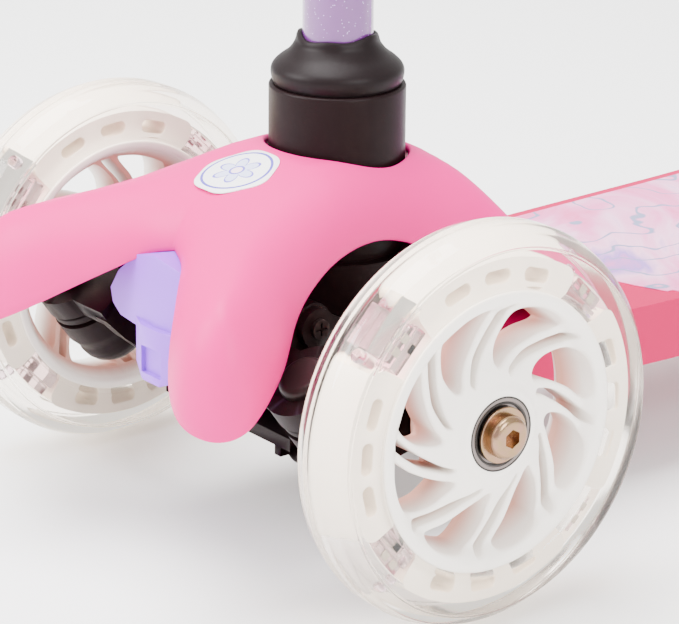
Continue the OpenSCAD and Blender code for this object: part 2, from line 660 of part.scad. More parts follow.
// Ball bearing with a step between its races and its shield
module bearing(z) translate([0, 0, z]) {
    groove = 0.4;
    rotate_extrude() polygon([[axle_r + skin, 0], [6.2, 0], [6.2, groove], [9.6, groove], [9.6, 0],
        [bearing_r, 0], [bearing_r, bearing_w], [9.6, bearing_w], [9.6, bearing_w - groove],
        [6.2, bearing_w - groove], [6.2, bearing_w], [axle_r + skin, bearing_w]]);
}

module front_bearings(side) color("silver") on_wheel(side) {
    bearing(hub_half - bearing_w);
    bearing(-hub_half);
}

module axle_spacer(side) color("silver") on_wheel(side)
    ring(6, axle_r, bearing_w - hub_half + 0.1, hub_half - bearing_w - 0.1);

washer_t = 1;
module axle_washer(side) color("goldenrod") on_wheel(side)
    ring(8.4, axle_r, hub_half + 0.2, hub_half + 0.2 + washer_t);

// Domed socket-head axle bolt
module socket_bolt(length, head_r, head_h) {
    translate([0, 0, -length]) cylinder(r = axle_r, h = length);
    difference() {
        rotate_extrude() polygon(concat([[0, 0], [head_r, 0]],
            arc([head_r - 2, head_h - 2], 2, 0, 90), [[0, head_h]]));
        translate([0, 0, head_h - 3.2]) cylinder(r = 2.9, h = 5, $fn = 6);
    }
}

bolt_seat = hub_half + 0.2 + washer_t;
module axle_bolt(side) color("goldenrod") on_wheel(side) translate([0, 0, bolt_seat])
    socket_bolt(bolt_seat + track / 2 - 68, 6.5, 3.8);

module axle_nut(side) color("goldenrod") sided(side) at_front() translate([67.2, 0, axle_z])
    rotate([0, 90, 0]) difference() {
        cylinder(r = 7.4, h = 6.4, $fn = 6);
        translate([0, 0, -1]) cylinder(r = axle_r, h = 9);
    }

// ---------- rear wheel and brake ----------

rear_rim_r = rear_d / 2 - 8;
rear_hub_half = rear_w / 2 - 0.5;

module rear_tyre() color("ivory") on_rear_wheel()
    tyre(rear_d, rear_w, rear_rim_r - 5, rear_rim_r, 7);

module rear_hub() color("white") on_rear_wheel() difference() {
    face_r = rear_rim_r - 5;
    holes = 6;
    rotate_extrude() polygon([[8.5, -rear_hub_half], [14, -rear_hub_half], [15, -6], [24, -6], [25, -10],
        [face_r, -10], [face_r, -7], [rear_rim_r, -7], [rear_rim_r, 7], [face_r, 7], [face_r, 10], [25, 10],
        [24, 6], [15, 6], [14, rear_hub_half], [8.5, rear_hub_half]]);
    for (i = [0:holes - 1]) rotate([0, 0, 360 * i / holes]) translate([19.5, 0, -8])
        cylinder(r = 3.4, h = 16);
    for (z = [rear_hub_half - bearing_w, -rear_hub_half - 1])
        translate([0, 0, z]) cylinder(r = bearing_r, h = bearing_w + 1);
}

module rear_bearings() color("silver") on_rear_wheel() {
    bearing(rear_hub_half - bearing_w);
    bearing(-rear_hub_half);
}

// Inner tube between the bearings and the two short sleeves that centre the wheel
module rear_spacer() color("silver") on_rear_wheel() {
    ring(6, axle_r, bearing_w - rear_hub_half + 0.1, rear_hub_half - bearing_w - 0.1);
    for (s = [1, -1]) translate([0, 0, s * (rear_hub_half + arm_in) / 2])
        ring(6, axle_r, -(arm_in - rear_hub_half) / 2 + 0.1, (arm_in - rear_hub_half) / 2);
}

module rear_axle_bolt() color("goldenrod") on_rear_wheel() translate([0, 0, axle_seat])
    socket_bolt(2 * axle_seat + 6.5, 6.5, 5);

module rear_axle_nut() color("goldenrod") on_rear_wheel() translate([0, 0, -axle_seat - 6]) difference() {
    cylinder(r = 7.4, h = 6, $fn = 6);
    translate([0, 0, -1]) cylinder(r = axle_r, h = 9);
}

// Curved foot brake over the rear tyre
module brake_fender() color("mediumpurple") at_front() difference() {
    half_w = arm_in - 1;
    union() {
        slab(-half_w, 2 * half_w, concat(
            arc([wheelbase, rear_z], fender_r + fender_t, 140, 48, 14),
            arc([wheelbase, rear_z], fender_r, 48, 140, 14),
            [[hinge_y + 2, hinge_z - 4], [hinge_y - 2, hinge_z + 4.5]]));
        for (i = [0:4]) slab(-half_w + 4, 2 * half_w - 8, let (a = 62 + i * 9) concat(
            arc([wheelbase, rear_z], fender_r + fender_t + 1.2, a + 3, a, 1),
            arc([wheelbase, rear_z], fender_r + 1, a, a + 3, 1)));
        translate([-half_w, hinge_y, hinge_z]) rotate([0, 90, 0]) cylinder(r = 5.5, h = 2 * half_w);
    }
    translate([-50, hinge_y, hinge_z]) rotate([0, 90, 0]) cylinder(r = hinge_r, h = 100);
    translate([-8, hinge_y - 9, hinge_z - 9]) cube([16, 17.5, 18]);
}

module brake_pin() color("silver") at_front() translate([0, hinge_y, hinge_z]) rotate([0, 90, 0]) {
    translate([0, 0, -arm_in - 9.5]) cylinder(r = hinge_r - skin, h = 2 * arm_in + 19);
    for (z = [-arm_in - 11, arm_in + 9.2]) translate([0, 0, z]) cylinder(r = 4.4, h = 1.8);
}

// Torsion coil round the hinge pin that lifts the fender off the tyre
module brake_spring() color("silver") at_front() translate([-6.3, hinge_y, hinge_z]) rotate([0, 90, 0])
    coil(4.1, 0.7, 12.6, 6);

deck();
deck_film();
front_cover();
cover_badge();
chassis();
nose_housing();
collar();
boot();
lower_tube();
snap_button();
snap_spring();
clamp_collar();
clamp_bolt();
clamp_nut();
clamp_pin();
clamp_lever();
upper_tube();
tee_joint();
crossbar();
grip(1);  // grip_left
grip(-1);  // grip_right
end_caps();
kingpin(1);  // kingpin_left
kingpin(-1);  // kingpin_right
thrust_rings();
knuckle(1);  // knuckle_left
knuckle(-1);  // knuckle_right
tie_rod();
tie_rod_pin(1);  // tie_rod_pin_left
tie_rod_pin(-1);  // tie_rod_pin_right
centring_springs();
chassis_screws();
cover_screws();
front_tyre(1);  // front_tyre_left
front_tyre(-1);  // front_tyre_right
front_hub(1);  // front_hub_left
front_hub(-1);  // front_hub_right
light_blocks(1);  // light_blocks_left
light_blocks(-1);  // light_blocks_right
front_bearings(1);  // front_bearings_left
front_bearings(-1);  // front_bearings_right
axle_spacer(1);  // axle_spacer_left
axle_spacer(-1);  // axle_spacer_right
axle_bolt(1);  // axle_bolt_left
axle_bolt(-1);  // axle_bolt_right
axle_washer(1);  // axle_washer_left
axle_washer(-1);  // axle_washer_right
axle_nut(1);  // axle_nut_left
axle_nut(-1);  // axle_nut_right
rear_tyre();
rear_hub();
rear_bearings();
rear_spacer();
rear_axle_bolt();
rear_axle_nut();
brake_fender();
brake_pin();
brake_spring();
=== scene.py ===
"""Looks for a child's three-wheel kick scooter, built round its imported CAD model."""

import itertools
import json
import math

import bmesh
import bpy
import numpy as np
from mathutils import Matrix, Vector
from mathutils.geometry import delaunay_2d_cdt


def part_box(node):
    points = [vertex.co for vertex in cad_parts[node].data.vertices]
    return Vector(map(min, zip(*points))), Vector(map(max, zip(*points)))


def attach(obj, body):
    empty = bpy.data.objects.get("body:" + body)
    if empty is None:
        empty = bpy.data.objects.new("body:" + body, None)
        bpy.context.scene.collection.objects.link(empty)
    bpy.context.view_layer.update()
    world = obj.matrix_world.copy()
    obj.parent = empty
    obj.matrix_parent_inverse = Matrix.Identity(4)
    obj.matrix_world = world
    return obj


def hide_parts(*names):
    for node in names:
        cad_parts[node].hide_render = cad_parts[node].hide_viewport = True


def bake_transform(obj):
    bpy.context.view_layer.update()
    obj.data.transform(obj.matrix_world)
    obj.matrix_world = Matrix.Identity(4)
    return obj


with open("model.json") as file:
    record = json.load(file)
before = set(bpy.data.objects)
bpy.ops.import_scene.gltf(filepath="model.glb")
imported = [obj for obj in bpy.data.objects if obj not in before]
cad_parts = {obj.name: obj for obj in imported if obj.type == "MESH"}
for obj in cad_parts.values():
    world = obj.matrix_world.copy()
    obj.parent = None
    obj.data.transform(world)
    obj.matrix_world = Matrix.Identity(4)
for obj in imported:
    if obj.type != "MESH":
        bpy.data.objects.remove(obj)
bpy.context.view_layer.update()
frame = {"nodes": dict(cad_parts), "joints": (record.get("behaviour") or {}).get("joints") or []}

# ---------- frames ----------

MM = 0.001
TAU = 2 * math.pi


def middle(node):
    """The centre of a CAD node's box, in metres."""
    low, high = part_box(node)
    return (low + high) / 2


def joint(name):
    return next(j for j in frame["joints"] if j["name"] == name)


# Shapes are made in millimetres, in frames hung from the ground point under the front axle
wheel = middle("front_bearings_left")
FRONT = Matrix.Translation((0, wheel.y, 0)) @ Matrix.Scale(MM, 4)
HALF_TRACK = wheel.x / MM
AXLE_Z = wheel.z / MM
COLUMN_Y = (middle("collar").y - wheel.y) / MM
COLUMN = FRONT @ Matrix.Translation((0, COLUMN_Y, 0))
DECK_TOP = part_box("deck_film")[0].z / MM
SIDES = {"left": 1, "right": -1}


def wheel_frame(side):
    """Origin at a front wheel's centre, +Z outwards along its axle."""
    turn = Matrix.Rotation(side * math.pi / 2, 4, "Y")
    return FRONT @ Matrix.Translation((side * HALF_TRACK, 0, AXLE_Z)) @ turn


# ---------- mesh helpers ----------


def smoothstep(t):
    u = max(0.0, min(1.0, t))
    return u * u * (3 - 2 * u)


def catmull(points, steps, closed=False):
    """A smooth curve through points, with steps pieces between each pair."""
    p = [np.array(q, float) for q in points]
    if closed:
        p = [p[-1], *p, *p[:2]]
    else:
        p = [2 * p[0] - p[1], *p, 2 * p[-1] - p[-2]]
    line = []
    for a, b, c, d in zip(p, p[1:], p[2:], p[3:]):
        for k in range(steps):
            t = k / steps
            line.append(
                0.5 * (2 * b + (c - a) * t + (2 * a - 5 * b + 4 * c - d) * t * t
                       + (3 * b - a - 3 * c + d) * t ** 3))
    return line if closed else line + [p[-2]]


def rounded(corners, steps=5):
    """A closed outline from (x, y, radius) corners, each rounded to its radius."""
    line = []
    n = len(corners)
    for i, (x, y, radius) in enumerate(corners):
        here = Vector((x, y))
        back = Vector(corners[i - 1][:2]) - here
        ahead = Vector(corners[(i + 1) % n][:2]) - here
        if radius == 0:
            line.append((x, y))
            continue
        half = back.angle(ahead) / 2
        run = min(radius / math.tan(half), 0.49 * back.length, 0.49 * ahead.length)
        radius = run * math.tan(half)
        inwards = (back.normalized() + ahead.normalized()).normalized()
        centre = here + inwards * radius / math.sin(half)
        start = here + back.normalized() * run - centre
        end = here + ahead.normalized() * run - centre
        sweep = start.angle_signed(end)
        for k in range(steps + 1):
            turn = -sweep * k / steps
            c, s = math.cos(turn), math.sin(turn)
            line.append((centre.x + c * start.x - s * start.y,
                         centre.y + s * start.x + c * start.y))
    return line


def ring_of_quads(a, b, count):
    """Quads between two closed rings of count points, the first points being a and b."""
    ahead = [*range(1, count), 0]
    return [(a + i, a + k, b + k, b + i) for i, k in enumerate(ahead)]


def strips(rows, count, first=0, closed=False):
    """Quads between rows of count points each, every row a closed ring."""
    faces = []
    for j in range(rows if closed else rows - 1):
        faces += ring_of_quads(first + j * count, first + (j + 1) % rows * count, count)
    return faces


def lathe(outline, steps=144, shape=None):
    """A closed outline of (radius, height) spun about Z. shape(r, z, angle) may bend it."""
    points = []
    for r, z in outline:
        for i in range(steps):
            angle = TAU * i / steps
            rr, zz = shape(r, z, angle) if shape else (r, z)
            points.append((rr * math.cos(angle), rr * math.sin(angle), zz))
    return points, strips(len(outline), steps, closed=True)


def coil(radius, wire, length, turns, sides=12, per_turn=40):
    """A round wire wound about Z, with closed ends."""
    steps = per_turn * turns
    rise = length / turns / TAU / radius
    points = []
    for i in range(steps + 1):
        angle = TAU * i / per_turn
        for k in range(sides):
            around = TAU * k / sides
            out, up = radius + wire * math.cos(around), wire * math.sin(around)
            points.append((out * math.cos(angle) + rise * up * math.sin(angle),
                           out * math.sin(angle) - rise * up * math.cos(angle),
                           length * i / steps + up))
    faces = strips(steps + 1, sides)
    faces += [tuple(range(sides)), tuple(range(steps * sides, (steps + 1) * sides))]
    return points, faces


def box(low, high):
    """A block between two corners."""
    points = list(itertools.product(*zip(low, high)))
    faces = [(0, 1, 3, 2), (4, 6, 7, 5), (0, 4, 5, 1), (2, 3, 7, 6), (0, 2, 6, 4), (1, 5, 7, 3)]
    return points, faces


def joined(*meshes):
    """Several (points, faces) as one."""
    points, faces = [], []
    for more, shapes in meshes:
        faces += [tuple(len(points) + i for i in f) for f in shapes]
        points += list(more)
    return points, faces


def moved(mesh, matrix):
    """A (points, faces) carried by a matrix."""
    return [tuple(matrix @ Vector(p)) for p in mesh[0]], mesh[1]


MERGE = 1e-6  # points closer than this many metres are one


def piece(name, mesh, material, body, stands_for=(), slot=None, place=FRONT, sharp=40, edge=0):
    """A named object that may ride on a body and stand for CAD nodes. Its sharp edges are rounded by edge."""
    data = bpy.data.meshes.new(name)
    data.from_pydata([tuple(place @ Vector(p)) for p in mesh[0]], [], mesh[1])
    bm = bmesh.new()
    bm.from_mesh(data)
    bmesh.ops.remove_doubles(bm, verts=bm.verts, dist=MERGE)
    bmesh.ops.dissolve_degenerate(bm, dist=MERGE / 10, edges=bm.edges)
    bmesh.ops.recalc_face_normals(bm, faces=bm.faces)
    bm.to_mesh(data)
    bm.free()
    data.materials.append(material)
    obj = bpy.data.objects.new(name, data)
    bpy.context.scene.collection.objects.link(obj)
    round_edges(obj, edge, sharp)
    if body:
        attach(obj, body)
    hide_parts(*stands_for)
    return obj


def round_edges(obj, edge, sharp=35):
    """Smooth shading, with each edge sharper than an angle rounded or left crisp."""
    obj.data.shade_smooth()
    obj.data.set_sharp_from_angle(angle=math.radians(sharp))
    if edge > 0:
        bevel = obj.modifiers.new("rounding", "BEVEL")
        bevel.width = edge * MM
        bevel.segments = 3
        bevel.limit_method = "ANGLE"
        bevel.angle_limit = math.radians(sharp)
        bevel.harden_normals = False
        even = obj.modifiers.new("even shading", "WEIGHTED_NORMAL")
        even.keep_sharp = False


# ---------- materials ----------


def feed(tree, socket, value):
    """Links a socket to another one, or sets it to a plain value."""
    if isinstance(value, bpy.types.NodeSocket):
        tree.links.new(value, socket)
    else:
        socket.default_value = value


def add_node(tree, kind, **inputs):
    """A new shader node, fed by the names of its sockets."""
    node = tree.nodes.new("ShaderNode" + kind)
    if kind == "Mix":
        node.data_type = "RGBA"
    for name, value in inputs.items():
        feed(tree, node.inputs[name.replace("_", " ")], value)
    return node


def find_node(tree, kind):
    return next(n for n in tree.nodes if n.bl_idname == "ShaderNode" + kind)


def maths(tree, kind, *values):
    """The result of a sum on values or sockets."""
    node = tree.nodes.new("ShaderNodeMath")
    node.operation = kind
    for socket, value in zip(node.inputs, values):
        feed(tree, socket, value)
    return node.outputs[0]


def hypotenuse(tree, a, b):
    squares = [maths(tree, "MULTIPLY", side, side) for side in (a, b)]
    return maths(tree, "SQRT", maths(tree, "ADD", *squares))


def ramped(tree, value, low, high):
    """A value turned into a share: 0 at low and 1 at high."""
    return add_node(tree, "MapRange", Value=value, From_Min=low, From_Max=high).outputs["Result"]


def layered(tree, share, under, over):
    """One colour over another by a share. Each is a tone or a socket."""
    a, b = [c if isinstance(c, bpy.types.NodeSocket) else (*c, 1) for c in (under, over)]
    return add_node(tree, "Mix", Factor=share, A=a, B=b).outputs["Result"]


GRAIN_HEIGHT = 0.2 * MM


def finish(name, tone, other, rough, patch=25, grain=1500, bump=0.1, **sockets):
    """A procedural finish: colour drifts between two tones, and a fine grain moves gloss and surface."""
    made = bpy.data.materials.new(name)
    made.use_nodes = True
    tree = made.node_tree
    place = add_node(tree, "TexCoord").outputs["Object"]
    patches = add_node(tree, "TexNoise", Vector=place, Scale=patch, Detail=3).outputs["Fac"]
    fine = add_node(tree, "TexNoise", Vector=place, Scale=grain, Detail=2).outputs["Fac"]
    gloss = add_node(tree, "MapRange", Value=fine, To_Min=rough[0], To_Max=rough[1])
    relief = add_node(tree, "Bump", Height=fine, Strength=bump, Distance=GRAIN_HEIGHT)
    sockets["Base_Color"] = layered(tree, patches, tone, other)
    sockets["Roughness"] = gloss.outputs["Result"]
    sockets["Normal"] = relief.outputs["Normal"]
    shader = find_node(tree, "BsdfPrincipled")
    for socket, value in sockets.items():
        feed(tree, shader.inputs[socket.replace("_", " ")], value)
    return made


def opened(made):
    """What a richer finish builds on: the node tree, the place on the object and the drifting colour."""
    tree = made.node_tree
    return tree, find_node(tree, "TexCoord").outputs["Object"], find_node(tree, "Mix").outputs["Result"]


def recoloured(made, colour):
    """The finish with another base colour."""
    feed(made.node_tree, find_node(made.node_tree, "BsdfPrincipled").inputs["Base Color"], colour)
    return made


pink = finish("cover_pink", (0.70, 0.001, 0.195), (0.73, 0.002, 0.21), (0.40, 0.46),
              Specular_IOR_Level=0.14)
deck_pink = finish("deck_pink", (0.45, 0.0005, 0.068), (0.48, 0.001, 0.074), (0.42, 0.5),
                   Specular_IOR_Level=0.1)
lavender = finish("lavender_plastic", (0.27, 0.065, 0.68), (0.30, 0.08, 0.72), (0.36, 0.42),
                  Specular_IOR_Level=0.3)
black = finish("black_plastic", (0.006, 0.002, 0.0024), (0.009, 0.0035, 0.004), (0.34, 0.44), grain=2600,
               bump=0.3, Specular_IOR_Level=0.09)
rubber = finish("boot_rubber", (0.006, 0.0035, 0.004), (0.009, 0.0055, 0.006), (0.36, 0.46), grain=900,
                Specular_IOR_Level=0.1)
grip_rubber = finish("grip_rubber", (0.72, 0.006, 0.11), (0.75, 0.008, 0.12), (0.5, 0.62), bump=0.3,
                     Specular_IOR_Level=0.3)
hub_white = finish("hub_white", (0.86, 0.80, 0.74), (0.90, 0.84, 0.78), (0.34, 0.42),
                   Specular_IOR_Level=0.4)
zinc = finish("yellow_zinc", (0.27, 0.205, 0.075), (0.30, 0.15, 0.14), (0.2, 0.3), patch=420, grain=2500,
              bump=0.15, Metallic=1.0)
steel = finish("bright_steel", (0.34, 0.32, 0.29), (0.42, 0.40, 0.38), (0.2, 0.3), patch=120, grain=2500,
               bump=0.15, Metallic=1.0)
race = finish("bearing_steel", (0.15, 0.125, 0.115), (0.20, 0.17, 0.16), (0.24, 0.34), patch=160,
              grain=2500, bump=0.15, Metallic=1.0)
dark_steel = finish("blackened_steel", (0.012, 0.006, 0.006), (0.02, 0.011, 0.011), (0.35, 0.45), patch=120,
                    Metallic=0.5, Specular_IOR_Level=0.2)
# Dark seal rubber, also used for the ring of painted shade laid over each bearing's seam
seal_and_seam_shade = finish("bearing_seal_and_seam_shade", (0.016, 0.014, 0.013), (0.024, 0.02, 0.018), (0.4, 0.5),
              Specular_IOR_Level=0.2)


# How far from the scooter's middle, and from the axle, the hub's painted shade is full, and where it has
# faded to the face's own tone
SHADE_FULL_X, SHADE_GONE_X = HALF_TRACK - 3, HALF_TRACK + 4.5
SHADE_FULL_R, SHADE_GONE_R = 36.5, 38.5


def milky_with_painted_shade(name, face, shade_tone):
    """Milky plastic with painted shade: it turns a darker, warmer tone in the deep of a front wheel, inside
    its rim.
    """
    made = finish(name, face, tuple(c * 1.02 for c in face), (0.34, 0.42), Specular_IOR_Level=0.4)
    tree, place, base = opened(made)
    axes = add_node(tree, "SeparateXYZ", Vector=place).outputs
    r = hypotenuse(tree, maths(tree, "SUBTRACT", axes["Y"], wheel.y),
                   maths(tree, "SUBTRACT", axes["Z"], wheel.z))
    shallow = ramped(tree, maths(tree, "ABSOLUTE", axes["X"]), SHADE_FULL_X * MM, SHADE_GONE_X * MM)
    share = maths(tree, "MAXIMUM", shallow, ramped(tree, r, SHADE_FULL_R * MM, SHADE_GONE_R * MM))
    # Painted shade: the darker warm tone fills the deep of the hub and fades out towards its face and rim
    return recoloured(made, layered(tree, share, shade_tone, base))


# The face's own milky tone, and the darker warm tone painted in the deep of the hub as shade
hub_milky_painted_shade = milky_with_painted_shade("hub_milky_painted_shade", (0.90, 0.85, 0.79), (0.66, 0.36, 0.28))


def see_through(name, tone, other, rough, tint, **sockets):
    """Clear plastic that bends light and lets the lamps reach what is inside it."""
    made = finish(name, tone, other, rough, grain=300, bump=0.05, Transmission_Weight=1.0, **sockets)
    tree = made.node_tree
    lamp_ray = add_node(tree, "LightPath").outputs["Is Shadow Ray"]
    plastic = find_node(tree, "BsdfPrincipled").outputs[0]
    open_to_lamps = add_node(tree, "BsdfTransparent", Color=(*tint, 1)).outputs[0]
    either = add_node(tree, "MixShader")
    for socket, value in zip(either.inputs, (lamp_ray, plastic, open_to_lamps)):
        feed(tree, socket, value)
    feed(tree, find_node(tree, "OutputMaterial").inputs["Surface"], either.outputs[0])
    return made


clear = see_through("tyre_clear", (1.0, 0.915, 0.82), (1.0, 0.93, 0.845), (0.07, 0.14),
                    tint=(0.97, 0.91, 0.84), IOR=1.42)
prism = see_through("light_block", (0.80, 0.64, 0.76), (0.86, 0.72, 0.82), (0.02, 0.08),
                    tint=(0.86, 0.78, 0.84), IOR=1.5)


def flecked(name, tone, fleck):
    """Gloss paint with bright flecks of mica in it."""
    made = finish(name, tone, tuple(c * 0.96 for c in tone), (0.2, 0.26), Coat_Weight=0.6,
                  Coat_Roughness=0.08)
    tree, place, base = opened(made)
    cells = add_node(tree, "TexVoronoi", Vector=place, Scale=820)
    spot = ramped(tree, cells.outputs["Distance"], 0.16, 0.10)
    return recoloured(made, layered(tree, spot, base, fleck))


paint = flecked("lavender_paint", (0.15, 0.035, 0.20), (0.55, 0.36, 0.75))


def print_film(name):
    """Pastel abstract print: warped clouds of pink, white and lavender, with slate brush lines."""
    made = finish(name, (1, 1, 1), (1, 1, 1), (0.18, 0.26), Coat_Weight=0.5, Coat_Roughness=0.1)
    tree, place, _ = opened(made)
    clouds = add_node(tree, "TexNoise", Vector=place, Scale=14, Detail=4, Distortion=1.6)
    ramp = add_node(tree, "ValToRGB", Fac=clouds.outputs["Fac"])
    tones = [(0.30, (0.82, 0.06, 0.28)), (0.42, (0.88, 0.20, 0.50)), (0.52, (0.92, 0.46, 0.72)),
             (0.60, (0.36, 0.17, 0.62)), (0.70, (0.88, 0.17, 0.42))]
    while len(ramp.color_ramp.elements) < len(tones):
        ramp.color_ramp.elements.new(0.5)
    for element, (at, tone) in zip(ramp.color_ramp.elements, tones):
        element.position = at
        element.color = (*tone, 1)
    waves = add_node(tree, "TexWave", Vector=place, Scale=16, Distortion=22, Detail=3, Detail_Scale=1.2)
    lines = ramped(tree, waves.outputs["Fac"], 0.965, 0.995)
    return recoloured(made, layered(tree, lines, ramp.outputs["Color"], (0.22, 0.24, 0.42)))


film = print_film("deck_print")

# ---------- dressed CAD nodes ----------


def dress(material, edge, *names):
    """CAD nodes shown as they are, with their edges rounded by edge millimetres."""
    for name in names:
        obj = frame["nodes"][name]
        obj.data.materials.clear()
        obj.data.materials.append(material)
        if "custom_normal" in obj.data.attributes:
            obj.data.attributes.remove(obj.data.attributes["custom_normal"])
        weld = obj.modifiers.new("weld", "WELD")
        weld.merge_threshold = 2 * MERGE
        round_edges(obj, edge)


def both(name):
    return [f"{name}_{side}" for side in SIDES]


dress(deck_pink, 1.2, "deck")
dress(film, 0.1, "deck_film")
dress(black, 0.5, "chassis", "clamp_collar", "clamp_lever", "tee_joint", "thrust_rings",
      *both("knuckle"))
dress(lavender, 0.9, "nose_housing")
dress(lavender, 0.5, "brake_fender", "end_caps")
dress(paint, 0.2, "lower_tube", "upper_tube", "crossbar")
dress(grip_rubber, 0.35, *both("grip"))
dress(black, 0.3, "tie_rod")
dress(steel, 0.15, "snap_button", "snap_spring", "clamp_bolt", "clamp_nut", "clamp_pin", "brake_pin",
      "rear_spacer", "rear_bearings", *both("axle_spacer"))
dress(dark_steel, 0.2, "chassis_screws", "cover_screws", *both("kingpin"), *both("tie_rod_pin"))
dress(zinc, 0.25, *both("axle_bolt"), *both("axle_washer"), *both("axle_nut"), "rear_axle_bolt",
      "rear_axle_nut")
dress(clear, 0.3, "rear_tyre")
dress(hub_white, 0.4, "rear_hub")

# ---------- front cover and badge ----------

# Half outline in plan, from the front notch round the leg and past the side notch to the deck
COVER_PLAN = [(0, -39), (9, -43), (20, -53), (38, -68.5), (52.5, -74.7), (64, -71), (67.5, -61),
              (60, -44.5), (47.5, -29), (40.5, -15), (36, 0), (33, 17), (34, 32), (39, 48), (46, 66),
              (50, 84), (47, 98), (38, 107), (20, 112), (0, 113)]
COVER_WALL = 3
COVER_HOLE = 23
COVER_FOOT = DECK_TOP + COVER_WALL + 1
EDGE_Z, EDGE_FALL = 118, 0.59
CROWN_Z, CROWN_FALL, BACK_FALL = 119.3, 0.28, 0.087
DECK_BLEND, DECK_BLEND_END = 59, 104
SHOULDER, SHOULDER_FALL, SHOULDER_R = 19, 0.1, 45


def edge_height(p):
    """The free edge lies on a wide cone round the front axle, down to the deck."""
    return max(DECK_TOP + 0.2, EDGE_Z - EDGE_FALL * math.hypot(*p))


def crown_height(p):
    """The crown falls away from the column's hole all round, more to the back, and blends into the deck."""
    far = math.hypot(p[0], p[1] - COLUMN_Y) - COVER_HOLE
    z = CROWN_Z - CROWN_FALL * far - BACK_FALL * max(0, p[1] + 1)
    return COVER_FOOT + (z - COVER_FOOT) * smoothstep((DECK_BLEND_END - p[1]) / DECK_BLEND)


def cover_height(p, inwards, wall=0):
    """Height of the skin at a point that lies inwards millimetres inside the outline."""
    shoulder = SHOULDER - SHOULDER_FALL * max(0, math.hypot(*p) - SHOULDER_R)
    u = min(1, max(0, inwards) / (shoulder - wall))
    low = edge_height(p)
    return low + max(0, crown_height(p) - wall - low) * math.sqrt(1 - (1 - u) ** 2)


def cover_mesh():
    """The cover's shell: its skin, the rolled rim of the column's hole, its underside and its free edge."""
    half = catmull(COVER_PLAN, 7)
    line = np.array(half + [q * (-1, 1) for q in half[-2:0:-1]])
    n = len(line)
    ahead = np.roll(line, -1, 0) - np.roll(line, 1, 0)
    inward = np.stack([-ahead[:, 1], ahead[:, 0]], 1) / np.linalg.norm(ahead, axis=1)[:, None]
    starts, ends = line, np.roll(line, -1, 0)
    spans = ends - starts

    def depth(p):
        t = np.clip(((p - starts) * spans).sum(1) / (spans ** 2).sum(1), 0, 1)
        return np.linalg.norm(p - starts - t[:, None] * spans, axis=1).min()

    centre = np.array([0, COLUMN_Y])
    away = line - centre
    hole = centre + COVER_HOLE * away / np.linalg.norm(away, axis=1)[:, None]
    rows, rim_steps, edge_steps, lip = 26, 6, 5, 0.9
    shares = [1 - math.cos(math.pi / 2 * k / rows) for k in range(rows + 1)]
    points = []

    def skin(inset, wall, shares):
        start = line + inset * inward
        for s in shares:
            for i in range(n):
                p = start[i] + s * (hole[i] - start[i])
                d = inset if s == 0 else depth(p)
                points.append((*p, cover_height(p, d - inset, wall)))

    skin(0, 0, shares)
    top_row = points[-n:]
    for k in range(1, rim_steps):  # the hole's rolled rim
        turn = math.pi * k / rim_steps
        for i, p in enumerate(top_row):
            toward = (centre - hole[i]) / COVER_HOLE
            out = lip * math.sin(turn)
            drop = COVER_WALL * (1 - math.cos(turn)) / 2
            points.append((p[0] + toward[0] * out, p[1] + toward[1] * out, p[2] - drop))
    skin(COVER_WALL, COVER_WALL, shares[::-1])
    bottom_row = points[-n:]
    for k in range(1, edge_steps):  # the free edge, rounded underneath
        turn = math.pi * k / edge_steps
        for i, p in enumerate(bottom_row):
            share = (1 + math.cos(turn)) / 2
            at = line[i] + inward[i] * COVER_WALL * share
            between = edge_height(line[i]) * (1 - share) + p[2] * share
            points.append((*at, between - lip * math.sin(turn)))
    return points, strips(len(points) // n, n, closed=True)


piece("front_cover_shell", cover_mesh(), pink, "frame", ["front_cover"], "cover_pink", sharp=60)


def badge_finish(centre):
    """White gloss enamel with a violet rim and a pale blue and violet flower, laid out about a point."""
    made = finish("badge_print", (0.9, 0.9, 0.92), (0.92, 0.92, 0.94), (0.14, 0.2), Coat_Weight=0.5)
    violet = (0.16, 0.12, 0.62)
    rim_r, rim_half = 10.6, 0.42
    petal_foot, petal_length, outline = 3.6, 3.8, 0.75
    eye_ring, eye = 2.5, 1.8
    tree, place, colour = opened(made)
    axes = add_node(tree, "SeparateXYZ", Vector=place).outputs
    x, y = [maths(tree, "MULTIPLY", maths(tree, "SUBTRACT", axes[axis], at), 1 / MM)
            for axis, at in (("X", centre.x), ("Y", centre.y))]
    r = hypotenuse(tree, x, y)
    thirds = maths(tree, "COSINE", maths(tree, "MULTIPLY", maths(tree, "ARCTAN2", y, x), 3))
    petal = maths(tree, "MULTIPLY_ADD", maths(tree, "ABSOLUTE", thirds), petal_length, petal_foot)
    inks = [
        (maths(tree, "ABSOLUTE", maths(tree, "SUBTRACT", r, rim_r)), rim_half, (0.10, 0.07, 0.50)),
        (r, petal, violet),
        (maths(tree, "ADD", r, outline), petal, (0.62, 0.66, 0.93)),
        (r, eye_ring, violet),
        (r, eye, (0.95, 0.75, 0.86)),
    ]
    for distance, reach, ink in inks:
        colour = layered(tree, maths(tree, "LESS_THAN", distance, reach), colour, ink)
    return recoloured(made, colour)


BADGE_R, BADGE_T, BADGE_SCALLOP = 12.5, 0.5, 0.03
BADGE_Y = -16


